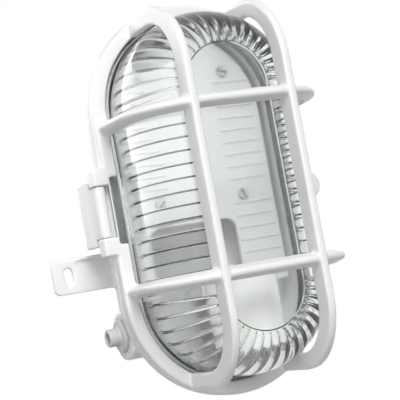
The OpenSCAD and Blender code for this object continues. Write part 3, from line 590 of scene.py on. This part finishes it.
def oval_loop(settings, per_rib):
    """Columns round the oval, one on each valley: share of the straight half, direction, end, angle."""
    step = settings.rib_pitch / per_rib
    spare = 0.25  # least share of a step between the last column and the end
    last = int(settings.straight_half / step - spare)
    side = [-1.0] + [i * step / settings.straight_half for i in range(-last, last + 1)]
    turns = settings.flutes * per_rib
    share, out, end, angle = [], [], [], []
    for turn in (0, 1):
        sign = 1 - 2 * turn
        for along in side:
            share.append(sign * along)
            out.append((sign, 0.0))
            end.append(0)
            angle.append(0.0)
        for i in range(turns):
            a = math.pi * i / turns
            share.append(sign)
            out.append((sign * math.cos(a), sign * math.sin(a)))
            end.append(1)
            angle.append(a)
    return np.array(share), np.array(out), np.array(end), np.array(angle)


def glass_rows(settings):
    """Section of the glass as rows of radius, depth, straight half, rib mask and rib direction."""
    back = -GLASS_HIGH.y
    front = -GLASS_LOW.y
    wall, thick = settings.wall_radius, settings.wall_thickness
    window, spine, far = settings.window_half, settings.straight_half, settings.window_straight_half
    foot, foot_front = settings.foot_radius, back + settings.foot_thickness
    spring = front - settings.shoulder_height
    rows = []

    def add(radius, depth, reach=0.0, mask=0.0, out=(0.0, 0.0)):
        rows.append((radius, depth, spine + (far - spine) * reach, mask, *out))

    def arc(centre_r, centre_d, radius, first, last, steps):
        for i in range(steps + 1):
            a = math.radians(first + (last - first) * i / steps)
            add(centre_r + radius * math.cos(a), centre_d + radius * math.sin(a))

    edge, root = 0.6 * MM, 1.2 * MM
    add(wall - thick, back)
    arc(foot - edge, back + edge, edge, -90, 0, 3)
    arc(foot - edge, foot_front - edge, edge, 0, 90, 3)
    arc(wall + root, foot_front + root, root, -90, -180, 4)
    add(wall, (foot_front + spring) / 2)
    steps = 26
    for i in range(steps + 1):
        a = math.pi / 2 * i / steps
        add(window + (wall - window) * math.cos(a), spring + (front - spring) * math.sin(a), 1 - math.cos(a))
    seam = len(rows) - 1
    inner_wall, inner_front = wall - thick, front - thick
    inner_window = window + 0.5 * MM
    ring, step = 1.0 * MM, settings.ring_step
    inner_spring = spring - 3.0 * MM
    lift = inner_front - inner_spring
    for off, drop in ((-0.9, 1.0), (-0.5, 1.0), (-0.2, 0.5), (0.1, 0.0)):
        add(window + off * MM, inner_front - drop * step, 1.0)
    for i in range(steps + 1):
        a = math.pi / 2 * (1 - i / steps)
        radius = inner_window + (inner_wall - inner_window) * math.cos(a)
        mask = min(1.0, max(0.0, (radius - inner_window) / ring))
        add(radius, inner_spring + lift * math.sin(a), 1 - math.cos(a), mask, (math.cos(a), math.sin(a)))
    for share in (0.35, 0.7):
        add(inner_wall, inner_spring + (settings.rib_start - inner_spring) * share, 0.0, 1.0, (1.0, 0.0))
    for drop, mask in ((0.0, 1.0), (0.35, 0.8), (0.7, 0.4), (1.0, 0.0)):
        add(inner_wall, settings.rib_start - drop * MM, 0.0, mask, (1.0, 0.0))
    add(inner_wall, (settings.rib_start + back) / 2)
    return np.array(rows), seam


class BULKHEAD_OT_glass(bpy.types.Operator):
    """Makes the glass as a thick shell, smooth outside, with pressed ribs and flutes inside"""
    bl_idname = "bulkhead.glass"
    bl_label = "Ribbed glass"

    def execute(self, context):
        settings = context.scene.bulkhead_glass
        per_rib = 14
        crest, ahead = 0.5, 100.0  # phase of a rib's top, and whole ribs that keep the phase above zero
        share, out, end, angle = oval_loop(settings, per_rib)
        rows, seam = glass_rows(settings)
        columns, count = len(share), len(rows)
        deep = np.where(end == 1, 1.0, settings.rib_depth / settings.flute_depth)
        points = np.zeros((count, columns, 3))
        around = angle / math.pi * settings.flutes + crest
        along = share * settings.straight_half / settings.rib_pitch
        along = along + (ahead + crest) + settings.rib_shift / per_rib
        phase = np.tile(np.where(end == 1, around, along), (count, 1))
        sharp = np.zeros((count, columns))
        direction = np.zeros((count, columns, 3))
        for i, (radius, depth, half, mask, out_r, out_d) in enumerate(rows):
            points[i, :, 0] = out[:, 0] * radius
            straight = np.where(np.abs(share) == 1.0, half, settings.straight_half)
            points[i, :, 2] = share * straight + out[:, 1] * radius
            points[i, :, 1] = -depth
            flute = settings.rib_sharpness + (settings.flute_sharpness - settings.rib_sharpness) * out_d
            sharp[i] = np.where(end == 1, flute, settings.rib_sharpness)
            direction[i, :, 0] = out[:, 0] * out_r
            direction[i, :, 2] = out[:, 1] * out_r
            direction[i, :, 1] = -out_d
        windows = [tuple(range(row * columns, (row + 1) * columns)) for row in (seam, seam + 1)]
        faces = windows + ring_faces(count, columns, gap=seam)
        mesh = mesh_from("Glass", points.reshape(-1, 3), faces)
        stores = (
            ("rib_phase", "FLOAT", phase), ("rib_mask", "FLOAT", np.outer(rows[:, 3], deep)),
            ("rib_sharp", "FLOAT", sharp), ("rib_out", "FLOAT_VECTOR", direction),
        )
        for name, kind, values in stores:
            store = mesh.attributes.new(name, kind, "POINT")
            store.data.foreach_set("vector" if kind == "FLOAT_VECTOR" else "value",
                                   np.ascontiguousarray(values, dtype=np.float32).ravel())
        close_shell(mesh)
        piece = link("Glass", mesh)
        run_tree(piece, rib_tree(), {"Depth": settings.flute_depth, "Finish": glass_finish()})
        for name, *_ in stores:
            piece.data.attributes.remove(piece.data.attributes[name])
        shade(piece.data, angle=40)
        settle(piece, "glass_diffuser")
        return {"FINISHED"}


class BULKHEAD_OT_lampholder(bpy.types.Operator):
    """Makes the glazed lampholder with its rolled brass thread"""
    bl_idname = "bulkhead.lampholder"
    bl_label = "Lampholder"

    def execute(self, context):
        settings = context.scene.bulkhead_fittings
        body = softened("lampholder_body", "Lampholder", settings.small_grid, passes=6)
        body.data.materials.append(porcelain_finish())
        settle(body, "lampholder_body")
        self.thread(settings)
        NODES["centre_contact"].data.materials[0] = brass_finish()
        return {"FINISHED"}

    def thread(self, settings):
        """Brass sleeve with a rolled thread that fades out at both ends."""
        low, high = SHELL_LOW.z, SHELL_HIGH.z
        centre = ((SHELL_LOW.x + SHELL_HIGH.x) / 2, (SHELL_LOW.y + SHELL_HIGH.y) / 2)
        outer = (SHELL_HIGH.x - SHELL_LOW.x) / 2
        rings, around, fade_share = 110, 96, 0.125
        half = settings.thread_depth / 2
        middle = outer - settings.shell_gauge - half
        points = []
        for side in (0, 1):
            for i in range(rings + 1):
                share = i / rings if side == 0 else 1 - i / rings
                z = low + (high - low) * share
                fade = min(1.0, share / fade_share, (1 - share) / fade_share)
                for j in range(around):
                    a = math.tau * j / around
                    wave = math.sin(math.tau * (z - low) / settings.thread_pitch - a)
                    r = middle + fade * half * wave + (settings.shell_gauge if side == 0 else 0.0)
                    points.append((centre[0] + r * math.cos(a), centre[1] + r * math.sin(a), z))
        mesh = mesh_from("Lamp_thread", points, ring_faces(2 * (rings + 1), around))
        close_shell(mesh)
        shade(mesh, angle=60)
        mesh.materials.append(brass_finish())
        settle(link("Lamp_thread", mesh), "lampholder_shell")


class BULKHEAD_OT_screws(bpy.types.Operator):
    """Lays out the slotted screws of the bracket, the lampholder, the reflector and the terminals"""
    bl_idname = "bulkhead.screws"
    bl_label = "Slotted screws"

    def execute(self, context):
        settings = context.scene.bulkhead_fittings
        for node, name, axis, head, height, shank in (  # the last three in mm
            ("bracket_screws", "Bracket_screws", "Y", 2.9, 1.8, 1.5),
            ("lampholder_screws", "Lampholder_screws", "Z", 2.9, 1.8, 1.5),
            ("reflector_screws", "Reflector_screws", "Y", 2.9, 1.8, 1.5),
            ("terminal_screws", "Terminal_screws", "Y", 1.8, 1.6, 1.1),
            ("terminal_fixing_screw", "Terminal_fixing_screw", "Y", 2.9, 1.8, 1.5),
        ):
            seats, length, turn = self.seats(node, axis, head * MM, height * MM)
            piece = link(name, mesh_from(name, seats, []))
            run_tree(piece, screw_tree(), {
                "Head Radius": head * MM, "Head Height": height * MM, "Shank Radius": shank * MM,
                "Shank Length": length, "Slot Width": settings.slot_width, "Slot Depth": settings.slot_depth,
                "Turn": turn, "Finish": zinc_finish()})
            shade(piece.data, angle=30)
            settle(piece, node)
        return {"FINISHED"}

    def seats(self, node, axis, head, height):
        """Seat of each screw, its shank's length and the turn that points its head outwards."""
        along = "XYZ".index(axis)
        points = np.array([v.co for v in NODES[node].data.vertices])
        low, high = points.min(0), points.max(0)
        level, apart = 1e-6, 2.2 * head  # what counts as one height, and least step from screw to screw
        tops = points[points[:, along] < low[along] + level]
        places = []
        for p in tops:
            near = [c for c in places if np.linalg.norm(np.array(c[0]) - p) < apart]
            if near:
                near[0].append(p)
            else:
                places.append([p])
        seats = []
        for group in places:
            flat = np.array(group)
            middle = (flat.min(0) + flat.max(0)) / 2
            middle[along] = low[along] + height
            seats.append(tuple(middle))
        turn = (math.pi / 2, 0.0, 0.0) if axis == "Y" else (math.pi, 0.0, 0.0)
        return seats, float(high[along] - low[along] - height), turn


class BULKHEAD_OT_small_parts(bpy.types.Operator):
    """Finishes the gasket, grommet, bracket, reflector, painted-shade pad, terminals, leads and pins"""
    bl_idname = "bulkhead.small_parts"
    bl_label = "Small parts"

    def execute(self, context):
        settings = context.scene.bulkhead_fittings
        terminal = finish_named("Terminal plastic", (0.85, 0.84, 0.80), shine=(0.28, 0.38), dark=0.95,
                                mottle=120.0)
        grommet = finish_named("Pale rubber", (0.60, 0.60, 0.59), shine=(0.55, 0.7), dark=0.93,
                               mottle=150.0, grain=2200.0, bump=0.00005)
        for node, name, finish in (
            ("cable_grommet", "Cable_grommet", grommet),
            ("terminal_block", "Terminal_block", terminal),
            ("lampholder_bracket", "Lampholder_bracket", zinc_finish()),
        ):
            piece = softened(node, name, settings.small_grid, passes=3)
            piece.data.materials.append(finish)
            settle(piece, node)
        enamel = finish_named("White enamel", (0.71, 0.71, 0.71), shine=(0.2, 0.28), dark=0.98, mottle=50.0,
                              grain=700.0, wave=120.0, share=0.6, bump=0.00008)
        self.reflector_ribs(context.scene.bulkhead_glass, enamel)
        # grey sheet of painted shade on the tray's floor
        self.painted_shade_pad(settings)
        gasket = finish_named("Gasket rubber", (0.145, 0.152, 0.162), shine=(0.6, 0.8), dark=0.9,
                              mottle=200.0, grain=1800.0, bump=0.00008)
        live = finish_named("Brown-grey sleeve", (0.55, 0.50, 0.46), shine=(0.4, 0.55), dark=0.88,
                            mottle=220.0)
        neutral = finish_named("Blue-grey sleeve", (0.46, 0.50, 0.56), shine=(0.4, 0.55), dark=0.88,
                               mottle=220.0)
        for node, finish in (
            ("sealing_gasket", gasket), ("reflector_plate", enamel), ("terminal_sleeves", brass_finish()),
            ("live_lead", live), ("neutral_lead", neutral), ("hinge_pins", zinc_finish()),
            ("latch_pin", zinc_finish()),
        ):
            NODES[node].data.materials[0] = finish
        return {"FINISHED"}

    def painted_shade_pad(self, settings):
        """Thin grey sheet on the tray's floor at the left of the lampholder's foot, which paints the shade
        that falls on the tray's lower end.
        """
        floor, sunk = 3.0 * MM, 0.1 * MM
        radius, centre = 45.5 * MM, -49.0 * MM
        right, top, corner = 16.0 * MM, -22.0 * MM, 4.0 * MM
        outline = []
        for x, z, r, first, last, steps in (
            (0.0, centre, radius, 180.0, 360.0 - math.degrees(math.acos(right / radius)), 48),
            (right - corner, top - corner, corner, 0.0, 90.0, 8),
            (corner - radius, top - corner, corner, 90.0, 180.0, 8),
        ):
            for i in range(steps + 1):
                a = math.radians(first + (last - first) * i / steps)
                outline.append((x + r * math.cos(a), z + r * math.sin(a)))
        count = len(outline)
        points = [(x, -depth, z) for depth in (floor - sunk, floor + settings.pad_gauge) for x, z in outline]
        faces = [tuple(range(count)), tuple(range(count, 2 * count))]
        mesh = mesh_from("Floor_pad", points, faces + ring_faces(2, count, closed=False))
        close_shell(mesh)
        shade(mesh, angle=30)
        # the sheet's grey is painted shade on the tray's lower end
        mesh.materials.append(finish_named("Grey fibre", (0.56, 0.56, 0.56), shine=(0.7, 0.85), dark=0.9,
                                           mottle=300.0, grain=1500.0, wave=500.0, share=0.5, bump=0.00006))
        piece = link("Floor_pad", mesh)
        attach(piece, BODY_OF["base_tray"])

    def reflector_ribs(self, glass, enamel):
        """Pressed stiffening ribs on the reflector and its two arms, as far apart as those of the glass."""
        pitch = glass.rib_pitch
        for name, near, far, first, count in (  # near and far in mm, first in pitches
            ("Upper_right_ribs", 19.5, 41.5, 1.32, 9),
            ("Upper_left_ribs", -19.5, -41.5, 1.32, 9),
            ("Right_arm_ribs", 20.0, 43.0, -6.68, 7),
            ("Left_arm_ribs", -35.0, -43.0, -6.68, 6),
        ):
            piece = link(name, self.rib(name, near * MM, far * MM, first * pitch))
            run_tree(piece, rib_row_tree(), {"Count": count, "Step": pitch, "Finish": enamel})
            shade(piece.data)
            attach(piece, BODY_OF["reflector_plate"])

    def rib(self, name, near, far, height):
        """One rib with rounded ends, sunk into the front of the reflector plate."""
        front, radius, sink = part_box("reflector_plate")[0].y, 0.8 * MM, 0.15 * MM
        around, stations = 16, 7
        sign = math.copysign(1.0, far - near)
        turns = [math.pi / 2 * i / (stations - 1) for i in range(stations)]
        spine = [(near + sign * radius * (1 - math.cos(a)), radius * math.sin(a)) for a in turns]
        spine += [(near + far - x, r) for x, r in reversed(spine)]
        points = []
        for x, r in spine:
            for j in range(around):
                a = math.tau * j / around
                points.append((x, front + sink - r * math.cos(a), height + r * math.sin(a)))
        mesh = mesh_from(name, points, ring_faces(len(spine), around, closed=False))
        close_shell(mesh)
        return mesh


# Stage

def white_to_eye(tree):
    """One for rays from the camera and for what the glass and the shine show, else zero."""
    path = put(tree, "ShaderNodeLightPath", (-1300, 500))
    shown = maths(tree, "MAXIMUM", path.outputs["Is Camera Ray"], path.outputs["Is Glossy Ray"], (-1100, 500))
    return maths(tree, "MAXIMUM", shown, path.outputs["Is Transmission Ray"], (-900, 500))


def white_world(ambient):
    """White room that gives only a little light of its own."""
    world = bpy.data.worlds.new("White room")
    world.use_nodes = True
    tree = world.node_tree
    back = tree.nodes["Background"]
    fill(back, Color=(1.0, 1.0, 1.0, 1.0))
    level = put(tree, "ShaderNodeMapRange", (-200, 0))
    fill(level, To_Min=ambient, To_Max=1.0)
    wire(tree, white_to_eye(tree), level.inputs["Value"])
    wire(tree, level.outputs["Result"], back.inputs["Strength"])
    bpy.context.scene.world = world


def floor_finish():
    """Pale floor that keeps the light's shadow and turns white away from it."""
    material = bpy.data.materials.new("Pale floor")
    material.use_nodes = True
    tree = material.node_tree
    shader = tree.nodes["Principled BSDF"]
    fill(shader, Roughness=0.9)
    where = put(tree, "ShaderNodeTexCoord", (-1000, 0)).outputs["Object"]
    tone = put(tree, "ShaderNodeGroup", (-700, 0), node_tree=mottle_group())
    fill(tone, Scale=6.0, Dark=0.99, Color=(0.45, 0.45, 0.45, 1.0))
    wire(tree, where, tone.inputs["Vector"])
    wire(tree, tone.outputs["Color"], shader.inputs["Base Color"])
    glow = put(tree, "ShaderNodeEmission", (-200, -300))
    away = put(tree, "ShaderNodeVectorMath", (-900, 250), operation="LENGTH")
    wire(tree, where, away.inputs[0])
    fade = put(tree, "ShaderNodeMapRange", (-700, 250), interpolation_type="SMOOTHSTEP")
    fill(fade, From_Min=0.3, From_Max=0.9, To_Min=0.72, To_Max=1.0)
    wire(tree, away.outputs["Value"], fade.inputs["Value"])
    share = maths(tree, "MULTIPLY", white_to_eye(tree), fade.outputs["Result"], (-450, 400))
    mix = put(tree, "ShaderNodeMixShader", (300, 0))
    wire(tree, share, mix.inputs[0])
    wire(tree, shader.outputs["BSDF"], mix.inputs[1])
    wire(tree, glow.outputs["Emission"], mix.inputs[2])
    wire(tree, mix.outputs["Shader"], tree.nodes["Material Output"].inputs["Surface"])
    return material


def soft_lamp(name, place, size, power):
    """Soft lamp, aimed at the light, whose own shape doesn't show in the glass."""
    data = bpy.data.lights.new(name, "AREA")
    data.shape = "RECTANGLE"
    data.size, data.size_y = size
    data.energy = power
    lamp = bpy.data.objects.new(name, data)
    lamp.location = place
    lamp.rotation_euler = (LAMP_AIM - Vector(place)).to_track_quat("-Z", "Y").to_euler()
    lamp.visible_glossy = lamp.visible_transmission = False
    bpy.context.scene.collection.objects.link(lamp)


def softbox_finish():
    """Glow of a softbox, with a soft lower edge and a dim room under it."""
    material = bpy.data.materials.new("Softbox")
    material.use_nodes = True
    tree = material.node_tree
    where = put(tree, "ShaderNodeTexCoord", (-800, 0))
    apart = put(tree, "ShaderNodeSeparateXYZ", (-600, 0))
    wire(tree, where.outputs["Object"], apart.inputs["Vector"])
    fade = put(tree, "ShaderNodeMapRange", (-400, 0), interpolation_type="SMOOTHSTEP")
    fill(fade, From_Min=0.03, From_Max=0.13, To_Min=0.3, To_Max=5.0)
    wire(tree, apart.outputs["Z"], fade.inputs["Value"])
    glow = put(tree, "ShaderNodeEmission", (-200, 0))
    wire(tree, fade.outputs["Result"], glow.inputs["Strength"])
    wire(tree, glow.outputs["Emission"], tree.nodes["Material Output"].inputs["Surface"])
    tree.nodes.remove(tree.nodes["Principled BSDF"])
    return material


def softbox():
    """Curved softbox at the left that shows in the glass alone."""
    radius, low, high, steps = 1.5, -0.4, 1.2, 24
    first, last = 95, 270
    points = []
    for i in range(steps + 1):
        a = math.radians(first + (last - first) * i / steps)
        points += [(radius * math.cos(a), radius * math.sin(a), z) for z in (low, high)]
    faces = [(2 * i, 2 * i + 1, 2 * i + 3, 2 * i + 2) for i in range(steps)]
    mesh = mesh_from("Softbox", points, faces)
    mesh.materials.append(softbox_finish())
    card = link("Softbox", mesh)
    card.visible_camera = card.visible_diffuse = card.visible_transmission = card.visible_shadow = False


def dark_card():
    """Dark card over the light that shows through the glass alone."""
    wide, near, far, near_z, far_z = 0.32, -0.08, 0.30, 0.40, 0.22
    card = link("Dark_card", mesh_from("Dark_card", [
        (-wide, near, near_z), (wide, near, near_z), (wide, far, far_z), (-wide, far, far_z),
    ], [(0, 1, 2, 3)]))
    card.data.materials.append(finish_named("Dark card", (0.05, 0.052, 0.056), shine=(0.8, 0.9), dark=0.9,
                                            mottle=9.0))
    card.visible_camera = card.visible_diffuse = card.visible_glossy = card.visible_shadow = False


class BULKHEAD_OT_stage(bpy.types.Operator):
    """Sets the camera, the white room, the pale floor, the soft lamps and what the glass mirrors"""
    bl_idname = "bulkhead.stage"
    bl_label = "Stage"

    def execute(self, context):
        settings = context.scene.bulkhead_stage
        self.camera(context.scene)
        white_world(settings.ambient)
        reach, drop = 3.0, settings.floor_drop
        floor = link("Floor", mesh_from("Floor", [
            (-reach, -reach, drop), (reach, -reach, drop), (reach, reach, drop), (-reach, reach, drop),
        ], [(0, 1, 2, 3)]))
        floor.data.materials.append(floor_finish())
        soft_lamp("Key lamp", (-0.3, -1.9, 1.5), (1.5, 0.9), settings.key_power)
        soft_lamp("Left lamp", (-1.6, -1.1, 0.35), (1.2, 1.2), settings.fill_power)
        soft_lamp("Back lamp", (1.3, 1.0, 0.4), (1.2, 1.2), settings.back_power)
        softbox()
        dark_card()
        context.scene.view_settings.view_transform = "Standard"
        return {"FINISHED"}

    def camera(self, scene):
        """Camera at the left front, a little below the middle and rolled."""
        place = (-0.31353, -0.68489, -0.05543)
        azimuth, elevation, roll = (math.radians(a) for a in (-25.26, -4.33, -10.25))
        level = math.cos(elevation)
        back = Vector((math.sin(azimuth) * level, -math.cos(azimuth) * level, math.sin(elevation)))
        right = Vector((math.cos(azimuth), math.sin(azimuth), 0.0))
        up = back.cross(right)
        side = math.cos(roll) * right + math.sin(roll) * up
        top = -math.sin(roll) * right + math.cos(roll) * up
        data = bpy.data.cameras.new("Camera")
        data.sensor_width, data.lens = 36.0, 119.43
        data.clip_start, data.clip_end = 0.01, 20.0
        camera = bpy.data.objects.new("Camera", data)
        turn = Matrix((side, top, back)).transposed().to_4x4()
        camera.matrix_world = Matrix.Translation(place) @ turn
        scene.collection.objects.link(camera)
        scene.camera = camera


class BULKHEAD_PT_panel(bpy.types.Panel):
    """Lists the light's pieces and their settings"""
    bl_idname = "BULKHEAD_PT_panel"
    bl_label = "Bulkhead light"
    bl_space_type = "VIEW_3D"
    bl_region_type = "UI"
    bl_category = "Bulkhead"

    def draw(self, context):
        scene = context.scene
        for operator, group in PIECES:
            self.layout.operator(operator)
            for name in type(getattr(scene, group)).__annotations__ if group else ():
                self.layout.prop(getattr(scene, group), name)


PIECES = (
    ("bulkhead.stage", "bulkhead_stage"),
    ("bulkhead.mouldings", "bulkhead_mouldings"),
    ("bulkhead.glass", "bulkhead_glass"),
    ("bulkhead.lampholder", "bulkhead_fittings"),
    ("bulkhead.screws", None),
    ("bulkhead.small_parts", None),
)
SETTINGS = {
    "bulkhead_glass": GlassSettings,
    "bulkhead_mouldings": MouldingSettings,
    "bulkhead_fittings": FittingSettings,
    "bulkhead_stage": StageSettings,
}
CLASSES = (
    *SETTINGS.values(), BULKHEAD_OT_stage, BULKHEAD_OT_mouldings, BULKHEAD_OT_glass, BULKHEAD_OT_lampholder,
    BULKHEAD_OT_screws, BULKHEAD_OT_small_parts, BULKHEAD_PT_panel,
)


def register():
    for entry in CLASSES:
        bpy.utils.register_class(entry)
    for name, group in SETTINGS.items():
        setattr(bpy.types.Scene, name, bpy.props.PointerProperty(type=group))


def unregister():
    for name in SETTINGS:
        delattr(bpy.types.Scene, name)
    for entry in reversed(CLASSES):
        bpy.utils.unregister_class(entry)


def main():
    register()
    bpy.ops.bulkhead.stage()
    bpy.ops.bulkhead.mouldings()
    bpy.ops.bulkhead.glass()
    bpy.ops.bulkhead.lampholder()
    bpy.ops.bulkhead.screws()
    bpy.ops.bulkhead.small_parts()


if __name__ == "__main__":
    main()
